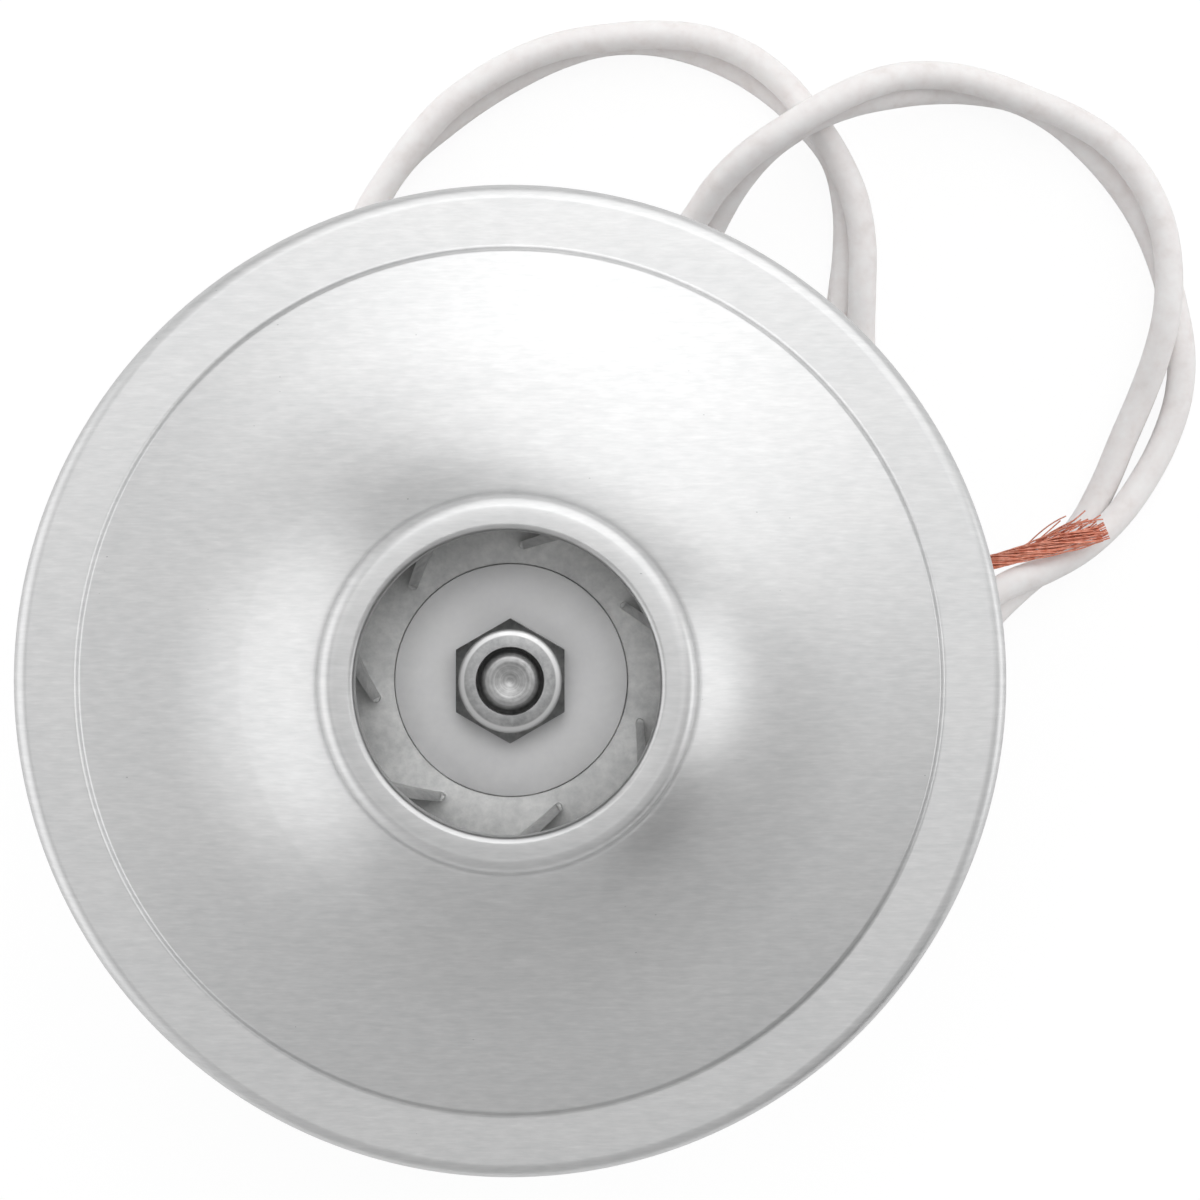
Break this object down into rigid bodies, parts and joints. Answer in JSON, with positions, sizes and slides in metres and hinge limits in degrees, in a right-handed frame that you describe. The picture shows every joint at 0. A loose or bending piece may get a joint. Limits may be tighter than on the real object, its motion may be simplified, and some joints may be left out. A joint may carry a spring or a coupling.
{
  "type": "vacuum cleaner motor",
  "caption": "Flow-through vacuum cleaner motor: pressed fan cover with rolled inlet lip over a bladed impeller, open commutator motor below, two white leads.",
  "frame": {"origin": "on the shaft's axis, at the foot of the rear bearing boss that the motor stands on", "axes": "+Z along the shaft towards the air inlet; the brushes lie along Y; the leads leave on the +X side"},
  "size_m": [0.1549, 0.1526, 0.112],
  "materials": {
    "cover_aluminium": "rolled sheet, fine straight streaks",
    "fan_aluminium": "mottled rolled sheet",
    "diffuser_moulding": "glass-filled moulding",
    "housing_moulding": "moulded, matt",
    "hub_moulding": "moulded phenolic",
    "bracket_zinc_steel": "zinc-plated pressed sheet",
    "screw_zinc_steel": "bright zinc plate",
    "nut_zinc_steel": "bright plate",
    "washer_zinc_steel": "satin plate",
    "spacer_steel": "turned",
    "shaft_steel": "ground",
    "bearing_steel": "ground and polished",
    "spring_steel": "blued spring steel",
    "lamination_steel": "stacked sheet edges",
    "enamelled_copper": "enamelled winding wire",
    "bare_copper": "bare stranded wire",
    "commutator_copper": "turned copper",
    "holder_brass": "folded brass sheet",
    "brush_carbon": "pressed carbon",
    "damper_rubber": "matt",
    "lead_silicone": "smooth white silicone"
  },
  "bodies": {
    "root": {"fan_cover": "cover_aluminium", "diffuser": "diffuser_moulding", "front_bracket": "bracket_zinc_steel", "front_bearing_outer": "bearing_steel", "rear_bearing_outer": "bearing_steel", "rear_bearing_ring": "damper_rubber", "rear_spring_washer": "spring_steel", "stator_core": "lamination_steel", "field_coil_a": "enamelled_copper", "field_coil_b": "enamelled_copper", "rear_bracket": "bracket_zinc_steel", "brush_housing_a": "housing_moulding", "brush_housing_b": "housing_moulding", "brush_holder_a": "holder_brass", "brush_holder_b": "holder_brass", "brush_cap_a": "holder_brass", "brush_cap_b": "holder_brass", "brush_screws": "screw_zinc_steel", "frame_screws": "screw_zinc_steel", "lead_grommet": "damper_rubber", "lead_a": "lead_silicone", "lead_b": "lead_silicone", "lead_a_copper": "bare_copper", "lead_b_copper": "bare_copper", "brush_spring_a": "spring_steel", "brush_spring_b": "spring_steel"},
    "rotor": {"shaft": "shaft_steel", "armature_core": "lamination_steel", "armature_winding": "enamelled_copper", "commutator_bars": "commutator_copper", "commutator_hub": "hub_moulding", "front_bearing_inner": "bearing_steel", "rear_bearing_inner": "bearing_steel", "impeller_shroud": "fan_aluminium", "impeller_backplate": "fan_aluminium", "impeller_blades": "fan_aluminium", "impeller_spacer": "spacer_steel", "clamp_washer": "washer_zinc_steel", "impeller_nut": "nut_zinc_steel"},
    "brush_a": {"brush_a": "brush_carbon"},
    "brush_b": {"brush_b": "brush_carbon"}
  },
  "joints": [
    {"name": "rotor_spin", "type": "hinge", "parent": "root", "child": "rotor", "pos_m": [0, 0, 0.05], "axis": [0, 0, 1], "continuous": true},
    {"name": "brush_a_slide", "type": "slide", "parent": "root", "child": "brush_a", "axis": [0, 1, 0], "range_m": [0, 0.004], "stiffness_N_per_m": 100, "springref_m": -0.01, "deforming": ["brush_spring_a"]},
    {"name": "brush_b_slide", "type": "slide", "parent": "root", "child": "brush_b", "axis": [0, -1, 0], "range_m": [0, 0.004], "stiffness_N_per_m": 100, "springref_m": -0.01, "deforming": ["brush_spring_b"]}
  ]
}
